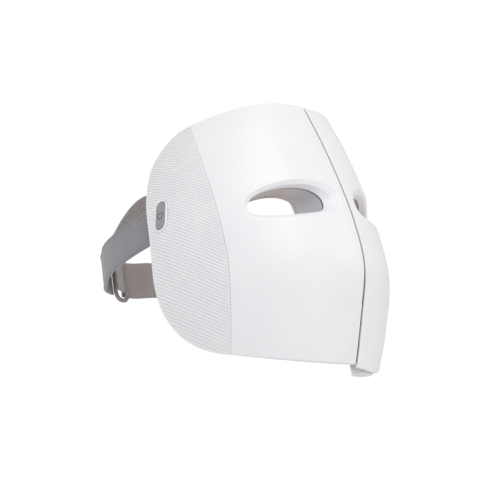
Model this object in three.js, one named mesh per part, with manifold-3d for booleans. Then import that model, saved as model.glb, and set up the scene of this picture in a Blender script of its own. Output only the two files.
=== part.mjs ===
// Full-face massage mask on a split head strap. Millimetres, +Z up, face of the mask towards -Y.
// +X is the wearer's left. The origin lies midway between the rear edges of the mask.
import * as THREE from 'three';
import { mergeVertices } from 'three/addons/utils/BufferGeometryUtils.js';
import Module from 'manifold-3d';

const wasm = await Module();
wasm.setup();

// Face surface: each level is a superellipse, HALF_WIDTH wide at the side and `depth` deep in front.
const DEPTH_LEVELS = { bottom: -108, step: 34 };
const DEPTHS = [93.5, 107, 118.5, 117, 110, 100.5, 89];
const HALF_WIDTH = 89.5;
const WIDTH_FALL = 0.003;
const SIDE_POWER = 2.05;
const SIDE_POWER_GAIN = 1.0;
const FRONT_POWER = 1.75;
const FRONT_BUILD = 22;
const SIDE_BUILD = 17;
const TOP = 93;
const GAP = 0.3;

// Layers through the wall, as fractions of its full build from the outer skin inwards.
const COVER_LAYER = [0, 0.14];
const FRAME_LAYER = [0.17, 0.76];
const BOARD_LAYER = [0.68, 0.74];
const LINER_LAYER = [0.79, 1];
const PAD_LAYER = [1.03, 1.18];
const STRIP_LAYER = [0.03, 0.155];
const EYE_RIM_LAYER = [0.08, 0.36];
const EYE_GASKET_LAYER = [0.373, 0.407];
const EYE_SLEEVE_LAYER = [0.42, 0.77];
const EYE_WALL = 2.2;
const SEAM = 1.6;
const WALL_GRID = { side: 97, bottom: -112, top: 104, columns: 24, rows: 12 };
const FAR = 400;

// Eye opening on the outer skin and on the inner skin: centre and half sizes in the front view.
const EYE_OUTER = { x: 35.2, z: 11.8, halfWidth: 26, halfHeight: 11.8 };
const EYE_INNER = { x: 42, z: 11.4, halfWidth: 15.6, halfHeight: 9.5 };
const EYE_POWER = 2.2;
const EYE_STEPS = 20;

const BUTTON = { y: -16, z: 24.2, length: 20.7, width: 8.6, tilt: -0.1, rim: 1.8 };
const STRAP = { halfWidth: 78.6, back: 131, start: 6, z: 24.3, height: 26, thickness: 2.4 };
const STRAP_LIFT = 9.5;
const STRAP_WIDEN = 6;
const UPPER_BAND = { spanTop: 32, spanLow: 18, riseTop: 46.5, riseLow: 24, base: 50, lean: 0.8, inside: -3.1 };
const RING = { angle: 78, width: 20, height: 46, wire: 3.6, z: 34, corner: 7, clearance: 4.5 };
const FOLD = { outer: 4.4, inner: -6.3, length: 11.5 };
const PIVOT = { y: -6, z: 24.3, x: 78.6 };
const SOCKET = { x: 15, y: -85.6, bottom: -106.2, top: -96.5, halfWidth: 9.6, halfDepth: 4.5, rim: 2, mouth: 6 };
const BOLT = { boss: 3, bore: 1.5, head: 4.6, shank: 1.2, tongue: 4.8 };

// Parts sealed in the wall: sizes, places in the side view, and depths below the outer skin.
const MOTOR = { radius: 5, thickness: 3, depth: 8 };
const MOTOR_PLACES = { brow: [22, 52], cheek: [36, -38], jaw: [30, -76] };
const BATTERY = { size: [28, 44, 4.5], y: -32, z: -30, depth: 8 };
const CONTROL = { size: [22, 26, 1.6], y: -34, z: 62, depth: 7 };

const finish = (color, roughness, metalness = 0) => ({ color, roughness, metalness });
const WHITE = finish('#f2f1f2', 0.4);
const RIBBED = finish('#e9e9ea', 0.5);
const GREY = finish('#97979a', 0.5);
const DARK = finish('#4a4748', 0.6);
const TAUPE = finish('#bfb4ac', 0.7);
const FABRIC = finish('#9b9b9d', 0.95);
const BUCKLE = finish('#8d8783', 0.5);
const BOARD = finish('#2f5a43', 0.6);
const CELL = finish('#b9bcc2', 0.4);
const STEEL = finish('#b4b6ba', 0.3, 1);

const mix = THREE.MathUtils.lerp;
const rad = THREE.MathUtils.degToRad;

function depthAt(z) {
  const place = THREE.MathUtils.clamp((z - DEPTH_LEVELS.bottom) / DEPTH_LEVELS.step, 0, DEPTHS.length - 1);
  const i = Math.min(Math.floor(place), DEPTHS.length - 2);
  const t = place - i;
  const p1 = DEPTHS[i];
  const p2 = DEPTHS[i + 1];
  const p0 = DEPTHS[i - 1] ?? 2 * p1 - p2;
  const p3 = DEPTHS[i + 2] ?? 2 * p2 - p1;
  const bend = (2 * p0 - 5 * p1 + 4 * p2 - p3) * t + (3 * p1 - p0 - 3 * p2 + p3) * t * t;
  return p1 + 0.5 * t * (p2 - p0 + bend);
}

const widthAt = (z) => HALF_WIDTH - WIDTH_FALL * z * z;
const sidePower = (z) => SIDE_POWER + SIDE_POWER_GAIN * (z / 100) ** 2;

// Point on the wall: `angle` is 0 at the front centre and +-90 degrees at the sides (plus is +X).
function facePoint(angle, z, layer) {
  const s = Math.sin(angle);
  const c = Math.cos(angle);
  const x = Math.sign(s) * (widthAt(z) - SIDE_BUILD * layer) * Math.abs(s) ** (2 / sidePower(z));
  const y = -Math.sign(c) * (depthAt(z) - FRONT_BUILD * layer) * Math.abs(c) ** (2 / FRONT_POWER);
  return new THREE.Vector3(x, y, z);
}

// The same surface found from x, in front of the sides.
function faceAtX(x, z, layer) {
  const reach = Math.min(Math.abs(x) / (widthAt(z) - SIDE_BUILD * layer), 0.999);
  return facePoint(Math.sign(x) * Math.asin(reach ** (sidePower(z) / 2)), z, layer);
}

function closedGeometry(points, indices) {
  const geometry = new THREE.BufferGeometry().setFromPoints(points);
  geometry.setIndex(indices);
  return facingOut(mergeVertices(geometry, 1e-4));
}

function facingOut(geometry) {
  const p = geometry.getAttribute('position');
  const index = geometry.getIndex();
  const [a, b, c] = [new THREE.Vector3(), new THREE.Vector3(), new THREE.Vector3()];
  let volume = 0;
  for (let i = 0; i < index.count; i += 3) {
    a.fromBufferAttribute(p, index.getX(i));
    b.fromBufferAttribute(p, index.getX(i + 1));
    c.fromBufferAttribute(p, index.getX(i + 2));
    volume += a.dot(b.cross(c));
  }
  if (volume < 0) {
    const turned = Array.from(index.array);
    for (let i = 0; i < turned.length; i += 3) {
      [turned[i], turned[i + 1]] = [turned[i + 1], turned[i]];
    }
    geometry.setIndex(turned);
  }
  return geometry;
}

// Closed solid between two sheets of the same grid: point(u, v, side), u and v in 0..1, side 0 or 1.
function sheetSolid(point, columns, rows) {
  const points = [];
  const indices = [];
  const at = (i, j, side) => side * (columns + 1) * (rows + 1) + j * (columns + 1) + i;
  for (const side of [0, 1]) {
    for (let j = 0; j <= rows; j += 1) {
      for (let i = 0; i <= columns; i += 1) {
        points.push(point(i / columns, j / rows, side));
      }
    }
  }
  const quad = (a, b, c, d) => indices.push(a, b, c, a, c, d);
  for (let j = 0; j < rows; j += 1) {
    for (let i = 0; i < columns; i += 1) {
      quad(at(i, j, 0), at(i + 1, j, 0), at(i + 1, j + 1, 0), at(i, j + 1, 0));
      quad(at(i, j, 1), at(i, j + 1, 1), at(i + 1, j + 1, 1), at(i + 1, j, 1));
    }
    quad(at(0, j, 1), at(0, j, 0), at(0, j + 1, 0), at(0, j + 1, 1));
    quad(at(columns, j, 0), at(columns, j, 1), at(columns, j + 1, 1), at(columns, j + 1, 0));
  }
  for (let i = 0; i < columns; i += 1) {
    quad(at(i, 0, 1), at(i + 1, 0, 1), at(i + 1, 0, 0), at(i, 0, 0));
    quad(at(i, rows, 0), at(i + 1, rows, 0), at(i + 1, rows, 1), at(i, rows, 1));
  }
  return closedGeometry(points, indices);
}

// Closed solid through a row of matching rings, with a fan at each end.
function loft(rings) {
  const count = rings[0].length;
  const points = rings.flat();
  const indices = [];
  for (let j = 0; j < rings.length - 1; j += 1) {
    for (let i = 0; i < count; i += 1) {
      const a = j * count + i;
      const b = j * count + ((i + 1) % count);
      indices.push(a, b, b + count, a, b + count, a + count);
    }
  }
  for (const [ring, turn] of [[rings[0], false], [rings.at(-1), true]]) {
    const first = turn ? (rings.length - 1) * count : 0;
    const hub = points.push(ring.reduce((sum, p) => sum.add(p), new THREE.Vector3()).divideScalar(count)) - 1;
    for (let i = 0; i < count; i += 1) {
      const next = first + ((i + 1) % count);
      indices.push(...(turn ? [hub, first + i, next] : [hub, next, first + i]));
    }
  }
  return closedGeometry(points, indices);
}

function solid(geometry) {
  const bare = geometry.clone();
  bare.deleteAttribute('normal');
  bare.deleteAttribute('uv');
  const merged = mergeVertices(bare, 1e-4);
  return new wasm.Manifold(new wasm.Mesh({
    numProp: 3,
    vertProperties: new Float32Array(merged.getAttribute('position').array),
    triVerts: new Uint32Array(merged.getIndex().array),
  }));
}

function fromSolid(body) {
  const mesh = body.getMesh();
  const geometry = new THREE.BufferGeometry();
  geometry.setAttribute('position', new THREE.BufferAttribute(mesh.vertProperties, 3));
  geometry.setIndex(Array.from(mesh.triVerts));
  return geometry;
}

// Extrusion of a shape drawn in the side view (y, z), running along x.
function sidePrism(shape, x0, x1) {
  const prism = new THREE.ExtrudeGeometry(shape, { depth: x1 - x0, bevelEnabled: false, curveSegments: 8 });
  const toSide = new THREE.Matrix4().makeBasis(
    new THREE.Vector3(0, 1, 0), new THREE.Vector3(0, 0, 1), new THREE.Vector3(1, 0, 0));
  return solid(prism.applyMatrix4(toSide).translate(x0, 0, 0));
}

function block(x, y, z, centre) {
  return solid(new THREE.BoxGeometry(x, y, z).translate(...centre));
}

// The whole wall between two layers, before any outline is cut.
function wall([outer, inner]) {
  const { side, bottom, top, columns, rows } = WALL_GRID;
  const point = (u, v, face) => facePoint(rad(mix(-side, side, u)), mix(bottom, top, v), face ? inner : outer);
  return solid(sheetSolid(point, columns, rows));
}

function faceOutline(inset = 0) {
  const i = inset;
  const shape = new THREE.Shape();
  shape.moveTo(-140, TOP - i);
  shape.lineTo(-29, TOP - i);
  shape.bezierCurveTo(-14 - i / 2, TOP - i, -i, 82 - i, 2 - i, 64 - i);
  shape.bezierCurveTo(3 - i, 40, -3.5 - i, 25, -3.5 - i, 6);
  shape.bezierCurveTo(-3.5 - i, -10, -0.5 - i, -18, -0.5 - i, -30);
  shape.bezierCurveTo(-0.5 - i, -56 + i / 2, -14 - i / 2, -74 + i, -41, -82 + i);
  shape.lineTo(-140, -115.6 + i);
  return shape;
}

// Side-view area behind the front edge of the temple panel, moved forward by `shift`.
function panelArea(shift) {
  const s = shift;
  const shape = new THREE.Shape();
  shape.moveTo(60, 110);
  shape.lineTo(-22 - s, 110);
  shape.lineTo(-30 - s, 94);
  shape.bezierCurveTo(-50 - s, 60, -63.5 - s, 20, -63.5 - s, -18);
  shape.bezierCurveTo(-63.5 - s, -42, -52 - s, -68, -38 - s, -90);
  shape.lineTo(-25 - s, -120);
  shape.lineTo(60, -120);
  return shape;
}

function pill(length, width) {
  const r = width / 2;
  const h = length / 2 - r;
  const shape = new THREE.Shape();
  shape.moveTo(r, -h);
  shape.lineTo(r, h);
  shape.absarc(0, h, r, 0, Math.PI);
  shape.lineTo(-r, -h);
  shape.absarc(0, -h, r, Math.PI, 2 * Math.PI);
  return shape;
}

function roundedRect(width, height, r) {
  const [w, h] = [width / 2 - r, height / 2 - r];
  const shape = new THREE.Shape();
  shape.absarc(w, h, r, 0, Math.PI / 2);
  shape.absarc(-w, h, r, Math.PI / 2, Math.PI);
  shape.absarc(-w, -h, r, Math.PI, 1.5 * Math.PI);
  shape.absarc(w, -h, r, 1.5 * Math.PI, 2 * Math.PI);
  return shape;
}

// Frame on the -X half of the outer skin: its Z axis is the outward normal, its Y axis runs up.
function faceFrame(angle, z, depth, tilt = 0) {
  const step = 1e-3;
  const here = facePoint(-angle, z, 0);
  const across = facePoint(-angle + step, z, 0).sub(here);
  const up = facePoint(-angle, z + step, 0).sub(here);
  const normal = across.cross(up).normalize();
  const side = up.cross(normal).normalize();
  const basis = new THREE.Matrix4().makeBasis(side, new THREE.Vector3().crossVectors(normal, side), normal);
  basis.multiply(new THREE.Matrix4().makeRotationZ(tilt));
  return basis.setPosition(here.addScaledVector(normal, -depth));
}

function angleAtY(y, z) {
  return Math.acos((Math.abs(y) / depthAt(z)) ** (FRONT_POWER / 2));
}

const extrude = (shape, depth, from = 0) =>
  new THREE.ExtrudeGeometry(shape, { depth, bevelEnabled: false, curveSegments: 4 }).translate(0, 0, from);

// Fuller chin of the left cover, which hangs below the lower edge in front of the charging socket.
function chinLobe() {
  const shape = new THREE.Shape();
  shape.moveTo(SEAM / 2, -92);
  shape.lineTo(SEAM / 2, -102);
  shape.bezierCurveTo(16, -106, 26, -106.6, 34, -102.4);
  shape.bezierCurveTo(40, -99, 44, -95.6, 50, -92);
  const front = extrude(shape, 60).rotateX(Math.PI / 2).translate(0, -50, 0);
  return wall(COVER_LAYER).intersect(solid(front));
}

function oval(halfWidth, halfDepth) {
  return new THREE.Shape().absellipse(0, 0, halfWidth, halfDepth, 0, 2 * Math.PI);
}

function eyeRing(layer, grow) {
  const ring = [];
  const [x, z] = [mix(EYE_OUTER.x, EYE_INNER.x, layer), mix(EYE_OUTER.z, EYE_INNER.z, layer)];
  const w = mix(EYE_OUTER.halfWidth, EYE_INNER.halfWidth, layer) + grow;
  const h = mix(EYE_OUTER.halfHeight, EYE_INNER.halfHeight, layer) + grow;
  for (let i = 0; i < EYE_STEPS; i += 1) {
    const turn = (2 * Math.PI * i) / EYE_STEPS;
    const [c, s] = [Math.cos(turn), Math.sin(turn)];
    const px = x + w * Math.sign(c) * Math.abs(c) ** (2 / EYE_POWER);
    const pz = z + h * Math.sign(s) * Math.abs(s) ** (2 / EYE_POWER);
    ring.push(faceAtX(-px, pz, layer));
  }
  return ring;
}

const eyeBody = (grow) => solid(loft([-0.3, 0, 0.5, 1, 1.4].map((layer) => eyeRing(layer, grow))));

// Strap: plan ellipse behind the mask, `turn` from 0 at the -X side to 180 degrees at the +X side.
function strapPoint(turn, z, out, forward = 0) {
  const [c, s] = [Math.cos(turn), Math.sin(turn)];
  const normal = new THREE.Vector2(-c / STRAP.halfWidth, s / STRAP.back).normalize();
  const x = -STRAP.halfWidth * c + out * normal.x;
  const y = STRAP.start + STRAP.back * s + out * normal.y - forward;
  return new THREE.Vector3(x, y, z);
}

function strapBand(from, to, columns, outAt) {
  return sheetSolid((u, v, side) => {
    const turn = rad(mix(from, to, u));
    const swell = Math.sin(turn) ** 2;
    const height = STRAP.height + STRAP_WIDEN * swell;
    const z = STRAP.z + STRAP_LIFT * swell + (v - 0.5) * height;
    return strapPoint(turn, z, outAt(mix(from, to, u)) + (0.5 - side) * STRAP.thickness);
  }, columns, 1);
}

const group = new THREE.Group();

function addMesh(name, geometry, look) {
  const mesh = new THREE.Mesh(geometry, new THREE.MeshStandardMaterial(look));
  mesh.name = name;
  group.add(mesh);
}

// Adds a piece of the -X half, and its mirror image on the +X half.
function addPair(rightName, leftName, geometry, look) {
  addMesh(rightName, geometry, look);
  addMesh(leftName, mirrorX(geometry), look);
}

const bothSides = (piece, geometry, look) => addPair(`right_${piece}`, `left_${piece}`, geometry, look);
const indexed = (geometry) => fromSolid(solid(geometry));

function addShell() {
  const skin = wall(COVER_LAYER).intersect(sidePrism(faceOutline(), -120, 0));
  const seam = block(SEAM, FAR, FAR, [0, 0, 0]);
  const opening = eyeBody(0);
  const rim = eyeBody(EYE_WALL).intersect(wall(EYE_RIM_LAYER));
  const cover = skin.subtract(sidePrism(panelArea(GAP / 2), -120, 0)).subtract(seam);
  const rightCover = cover.add(rim).subtract(opening);
  const leftCover = solid(mirrorX(fromSolid(rightCover))).add(chinLobe());
  addMesh('right_cover', fromSolid(rightCover), WHITE);
  addMesh('left_cover', fromSolid(leftCover), WHITE);

  const buttonAngle = angleAtY(BUTTON.y, BUTTON.z);
  const frameAt = (depth) => faceFrame(buttonAngle, BUTTON.z, depth, BUTTON.tilt);
  const [bezelLength, bezelWidth] = [BUTTON.length + 2 * BUTTON.rim, BUTTON.width + 2 * BUTTON.rim];
  const place = (geometry) => geometry.applyMatrix4(frameAt(0));
  const hole = solid(place(extrude(pill(bezelLength + 2 * GAP, bezelWidth + 2 * GAP), 12, -8)));
  const panel = skin.intersect(sidePrism(panelArea(-GAP / 2), -120, 0)).subtract(hole);
  bothSides('temple_panel', fromSolid(panel), RIBBED);

  const bezelShape = pill(bezelLength, bezelWidth);
  bezelShape.holes.push(pill(BUTTON.length + 2 * GAP, BUTTON.width + 2 * GAP));
  bothSides('button_bezel', indexed(place(extrude(bezelShape, 3.2, -2.6))), WHITE);
  const cap = solid(extrude(pill(BUTTON.length, BUTTON.width), 3.9, -3.2));
  const flange = solid(extrude(pill(BUTTON.length + 2.4, BUTTON.width + 2.4), 1, -4));
  addPair('right_power_button', 'left_mode_button', fromSolid(cap.add(flange)).applyMatrix4(frameAt(0)), GREY);
  bothSides('button_switch', indexed(place(extrude(roundedRect(6, 6, 1), 2.4, -7.6))), DARK);

  const strip = wall(STRIP_LAYER).intersect(sidePrism(faceOutline(1), GAP - SEAM / 2, SEAM / 2 - GAP));
  addMesh('center_seam_strip', fromSolid(strip), DARK);
}

function addInside() {
  const strapSlot = block(FAR, 30, 38, [0, 0, STRAP.z]);
  const ring = sidePrism(faceOutline(0.6), -120, 120).subtract(sidePrism(faceOutline(5), -121, 121));
  const upright = (shape, bottom, top) => solid(
    new THREE.ExtrudeGeometry(shape, { depth: top - bottom, bevelEnabled: false, curveSegments: 12 })
      .translate(SOCKET.x, SOCKET.y, bottom));
  const { bottom, top, halfWidth, halfDepth, rim, mouth } = SOCKET;
  const socketRoom = upright(oval(halfWidth + 2 * GAP, halfDepth + 2 * GAP), bottom - 10, top + 2 * GAP);
  const frame = wall(FRAME_LAYER).intersect(ring).subtract(strapSlot).subtract(socketRoom);
  const above = block(FAR, FAR, FAR, [0, 0, STRAP.z + FAR / 2]);
  addMesh('upper_frame', fromSolid(frame.intersect(above)), WHITE);
  addMesh('lower_frame', fromSolid(frame.subtract(above)), WHITE);

  const openings = eyeBody(0).add(solid(mirrorX(fromSolid(eyeBody(0)))));
  const inner = sidePrism(faceOutline(0.6), -120, 120);
  addMesh('inner_liner', fromSolid(wall(LINER_LAYER).intersect(inner).subtract(openings)), TAUPE);

  const sleeve = eyeBody(EYE_WALL).intersect(wall(EYE_SLEEVE_LAYER)).subtract(eyeBody(0));
  bothSides('eye_sleeve', fromSolid(sleeve), TAUPE);
  const gasket = eyeBody(EYE_WALL - 0.4).intersect(wall(EYE_GASKET_LAYER)).subtract(eyeBody(0.2));
  bothSides('eye_gasket', fromSolid(gasket), DARK);

  const area = sidePrism(faceOutline(14), -120, -8);
  const clearance = eyeBody(3.5);
  const board = wall(BOARD_LAYER).intersect(area).subtract(clearance)
    .subtract(sidePrism(panelArea(-6), -120, 0));
  bothSides('led_board', fromSolid(board), BOARD);

  const { radius, thickness } = MOTOR;
  for (const [place, [angle, z]] of Object.entries(MOTOR_PLACES)) {
    const coin = new THREE.CylinderGeometry(radius, radius, thickness, 16).rotateX(Math.PI / 2);
    bothSides(`${place}_motor`, indexed(coin.applyMatrix4(faceFrame(rad(angle), z, MOTOR.depth))), STEEL);
  }
  const boxAt = ({ size, y, z, depth }) => indexed(
    new THREE.BoxGeometry(...size).applyMatrix4(faceFrame(angleAtY(y, z), z, depth)));
  bothSides('battery', boxAt(BATTERY), CELL);
  addPair('right_control_board', 'left_driver_board', boxAt(CONTROL), BOARD);

  const pad = wall(PAD_LAYER);
  const brow = pad.intersect(block(76, FAR, 16, [0, 0, 70]));
  addMesh('forehead_pad', fromSolid(brow), TAUPE);
  const nose = pad.intersect(block(16, FAR, 22, [0, 0, -14]));
  addMesh('nose_pad', fromSolid(nose), TAUPE);

  const hollow = upright(oval(halfWidth - rim, halfDepth - rim), bottom - 1, bottom + mouth);
  const socket = upright(oval(halfWidth, halfDepth), bottom, top).subtract(hollow);
  addMesh('charging_socket', fromSolid(socket), WHITE);
}

function mirrorX(geometry) {
  return facingOut(geometry.clone().applyMatrix4(new THREE.Matrix4().makeScale(-1, 1, 1)));
}

// Strap roots: a bracket with a boss in each rear edge, and a tongue that turns on it.
function addAnchors() {
  const alongX = (geometry, x) => geometry.rotateZ(Math.PI / 2).translate(-x, PIVOT.y, PIVOT.z);
  const disc = (r, from, to) => solid(alongX(new THREE.CylinderGeometry(r, r, to - from, 16), (from + to) / 2));
  const plate = block(1.2, 7.6, 18, [-PIVOT.x - 1.8, PIVOT.y + 1, PIVOT.z]);
  const boss = disc(BOLT.boss, PIVOT.x - 1.5, PIVOT.x + 1.8);
  const bore = disc(BOLT.bore, PIVOT.x - 5, PIVOT.x + 1.4);
  bothSides('strap_anchor', fromSolid(plate.add(boss).subtract(bore)), WHITE);

  const head = disc(BOLT.head, PIVOT.x - 2.6, PIVOT.x - 1.8);
  const shank = disc(BOLT.shank, PIVOT.x - 2.6, PIVOT.x + 1);
  bothSides('anchor_screw', fromSolid(head.add(shank)), STEEL);

  const tongue = new THREE.Shape();
  const reach = STRAP.start - PIVOT.y - GAP;
  tongue.moveTo(0, -BOLT.tongue);
  tongue.lineTo(reach, -11);
  tongue.lineTo(reach, 11);
  tongue.lineTo(0, BOLT.tongue);
  tongue.absarc(0, 0, BOLT.tongue, Math.PI / 2, 1.5 * Math.PI);
  const plateBody = sidePrism(tongue, -0.9, 0.9).translate([-PIVOT.x, PIVOT.y, PIVOT.z]);
  const eyelet = disc(BOLT.boss + GAP, PIVOT.x - 3, PIVOT.x + 3);
  bothSides('strap_tongue', fromSolid(plateBody.subtract(eyelet)), BUCKLE);
}

function addStrap() {
  const ease = (turn, from, to) => THREE.MathUtils.smoothstep(turn, from, to);
  const [rightEnd, leftEnd] = [RING.angle - RING.clearance, RING.angle + RING.clearance];
  addMesh('right_strap', strapBand(0, rightEnd, 22, (turn) => FOLD.outer * ease(turn, 50, 66)), FABRIC);
  addMesh('left_strap', strapBand(leftEnd, 180, 26, (turn) => FOLD.outer * ease(-turn, -102, -90)), FABRIC);
  addMesh('strap_end', strapBand(rightEnd - FOLD.length, rightEnd, 4, () => FOLD.inner), FABRIC);

  const upper = sheetSolid((u, v, side) => {
    const s = mix(-1.12, 1.12, u);
    const turn = rad(90 + s * mix(UPPER_BAND.spanLow, UPPER_BAND.spanTop, v));
    const z = UPPER_BAND.base + (1 - s * s) * mix(UPPER_BAND.riseLow, UPPER_BAND.riseTop, v);
    const forward = UPPER_BAND.lean * Math.max(z - UPPER_BAND.base, 0);
    return strapPoint(turn, z, UPPER_BAND.inside + (0.5 - side) * STRAP.thickness, forward);
  }, 20, 2);
  addMesh('upper_band', upper, FABRIC);

  const path = roundedRect(RING.width - RING.wire, RING.height - RING.wire, RING.corner);
  const curve = new THREE.CatmullRomCurve3(
    path.getSpacedPoints(28).slice(0, -1).map((p) => new THREE.Vector3(p.x, p.y, 0)), true);
  const section = new THREE.Shape().absarc(0, 0, RING.wire / 2, 0, 2 * Math.PI);
  const wire = new THREE.ExtrudeGeometry(section, { steps: 28, extrudePath: curve, curveSegments: 4 });
  const turn = rad(RING.angle);
  const centre = strapPoint(turn, RING.z, 0);
  const outward = strapPoint(turn, RING.z, 1).sub(centre);
  const up = new THREE.Vector3(0, 0, 1);
  const stand = new THREE.Matrix4().makeBasis(new THREE.Vector3().crossVectors(up, outward), up, outward);
  addMesh('buckle_ring', facingOut(indexed(wire.applyMatrix4(stand.setPosition(centre)))), BUCKLE);
}

addShell();
addInside();
addAnchors();
addStrap();

export default group;
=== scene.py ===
import math
import random

import bmesh
import bpy
import numpy as np
from mathutils import Matrix, Vector
from mathutils.geometry import delaunay_2d_cdt


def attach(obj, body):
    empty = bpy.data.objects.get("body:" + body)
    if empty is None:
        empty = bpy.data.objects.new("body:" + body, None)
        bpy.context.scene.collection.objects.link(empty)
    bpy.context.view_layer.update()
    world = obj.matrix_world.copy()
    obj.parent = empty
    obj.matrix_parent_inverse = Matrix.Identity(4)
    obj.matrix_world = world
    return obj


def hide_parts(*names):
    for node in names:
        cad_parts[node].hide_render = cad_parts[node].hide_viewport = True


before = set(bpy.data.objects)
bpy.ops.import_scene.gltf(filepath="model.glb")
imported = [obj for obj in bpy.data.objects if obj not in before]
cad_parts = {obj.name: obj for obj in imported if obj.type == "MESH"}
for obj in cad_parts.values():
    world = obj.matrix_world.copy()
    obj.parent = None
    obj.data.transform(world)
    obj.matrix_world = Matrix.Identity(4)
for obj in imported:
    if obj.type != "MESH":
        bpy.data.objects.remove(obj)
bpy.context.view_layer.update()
MM = 0.001

# ---- camera, floor and light
AZIMUTH, ELEVATION, ROLL = 44.147, -17.862, -8.852
DISTANCE, FOCAL = 799.024, 1048.552
SIDE_MOVE, UP_MOVE = 5.791, 12.619
IMAGE, SENSOR = 500.0, 36.0

azimuth, elevation, roll = (math.radians(v) for v in (AZIMUTH, ELEVATION, ROLL))
TOWARD = Vector((-math.sin(azimuth) * math.cos(elevation), -math.cos(azimuth) * math.cos(elevation),
                 math.sin(elevation)))
level_right = Vector((math.cos(azimuth), -math.sin(azimuth), 0))
level_up = Vector((math.sin(elevation) * math.sin(azimuth), math.sin(elevation) * math.cos(azimuth),
                   math.cos(elevation)))
RIGHT = level_right * math.cos(roll) + level_up * math.sin(roll)
UP = -level_right * math.sin(roll) + level_up * math.cos(roll)

camera_data = bpy.data.cameras.new("camera")
camera_data.lens = FOCAL / IMAGE * SENSOR
camera_data.sensor_width = SENSOR
camera_data.clip_start = 0.01
camera = bpy.data.objects.new("camera", camera_data)
link = bpy.context.scene.collection.objects.link
link(camera)
place = (TOWARD * DISTANCE + RIGHT * SIDE_MOVE + UP * UP_MOVE) * MM
camera.matrix_world = Matrix([(RIGHT[k], UP[k], TOWARD[k], place[k]) for k in range(3)] + [(0, 0, 0, 1)])
bpy.context.scene.camera = camera
bpy.context.scene.view_settings.view_transform = "Standard"


def area_light(name, place, size, power, color=(1, 1, 1)):
    data = bpy.data.lights.new(name, "AREA")
    data.shape = "DISK"
    data.size = size
    data.energy = power
    data.color = color
    light = bpy.data.objects.new(name, data)
    light.location = place
    light.rotation_euler = (-Vector(place)).to_track_quat("-Z", "Y").to_euler()
    link(light)


area_light("key_light", RIGHT * -0.1 + UP * 1.1 + TOWARD * 0.8, 1.0, 5.4, (1.0, 0.99, 0.985))
area_light("side_light", RIGHT * -1.1 + UP * 0.1 + TOWARD * 0.5, 0.9, 0.15)
area_light("warm_light", RIGHT * 1.0 + UP * 0.7 + TOWARD * 0.35, 0.7, 1.5, (1.0, 0.9, 0.84))
area_light("rear_light", Vector((0.3, 1.2, 0.6)), 1.0, 3.0)

world = bpy.data.worlds.new("studio")
bpy.context.scene.world = world
world.use_nodes = True
tree = world.node_tree
tree.nodes.clear()
world_out = tree.nodes.new("ShaderNodeOutputWorld")
path = tree.nodes.new("ShaderNodeLightPath")
blend = tree.nodes.new("ShaderNodeMixShader")
tree.links.new(path.outputs["Is Camera Ray"], blend.inputs[0])
# soft light all round, and a plain white backdrop
for place, color, strength in ((1, (0.985, 0.975, 1.0, 1), 0.73), (2, (1, 1, 1, 1), 1.02)):
    glow = tree.nodes.new("ShaderNodeBackground")
    glow.inputs["Color"].default_value = color
    glow.inputs["Strength"].default_value = strength
    tree.links.new(glow.outputs[0], blend.inputs[place])
tree.links.new(blend.outputs[0], world_out.inputs["Surface"])


# ---- materials
class Nodes:
    """A material under construction: short calls for the nodes that it needs."""

    def __init__(self, name, **sockets):
        self.material = bpy.data.materials.new(name)
        self.material.use_nodes = True
        self.tree = self.material.node_tree
        self.shader = self.tree.nodes["Principled BSDF"]
        for socket, value in sockets.items():
            self.shader.inputs[socket.replace("_", " ")].default_value = value
        self.where = self.node("ShaderNodeTexCoord").outputs["Object"]
        self.uv = self.node("ShaderNodeTexCoord").outputs["UV"]

    def node(self, kind, inputs=(), **settings):
        made = self.tree.nodes.new(kind)
        for key, value in settings.items():
            setattr(made, key, value)
        for key, value in dict(inputs).items():
            if isinstance(value, bpy.types.NodeSocket):
                self.tree.links.new(value, made.inputs[key])
            else:
                made.inputs[key].default_value = value
        return made

    def noise(self, scale, detail=2.0, rough=0.5, where=None):
        return self.node("ShaderNodeTexNoise", {"Vector": where or self.where, "Scale": scale,
                                                "Detail": detail, "Roughness": rough}).outputs["Fac"]

    def stretched(self, scale, where=None):
        return self.node("ShaderNodeMapping", {"Vector": where or self.where, "Scale": scale}).outputs[0]

    def math(self, operation, a, b=0.0):
        return self.node("ShaderNodeMath", {0: a, 1: b}, operation=operation).outputs[0]

    def times(self, a, b):
        return self.math("MULTIPLY", a, b)

    def plus(self, a, b):
        return self.math("ADD", a, b)

    def fit(self, value, low, high, new_low, new_high):
        return self.node("ShaderNodeMapRange", {"Value": value, "From Min": low, "From Max": high,
                                                "To Min": new_low, "To Max": new_high}).outputs[0]

    def mix(self, factor, a, b):
        made = self.node("ShaderNodeMix", data_type="RGBA")
        for index, value in ((0, factor), (6, a), (7, b)):
            if isinstance(value, bpy.types.NodeSocket):
                self.tree.links.new(value, made.inputs[index])
            else:
                made.inputs[index].default_value = value if index == 0 else (*value, 1)
        return made.outputs[2]

    def out(self, color, rough, bump=None, strength=0.2, distance=0.0002):
        self.tree.links.new(color, self.shader.inputs["Base Color"])
        self.tree.links.new(rough, self.shader.inputs["Roughness"])
        if bump:
            made = self.node("ShaderNodeBump", {"Height": bump, "Strength": strength, "Distance": distance})
            self.tree.links.new(made.outputs[0], self.shader.inputs["Normal"])
        return self.material


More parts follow.
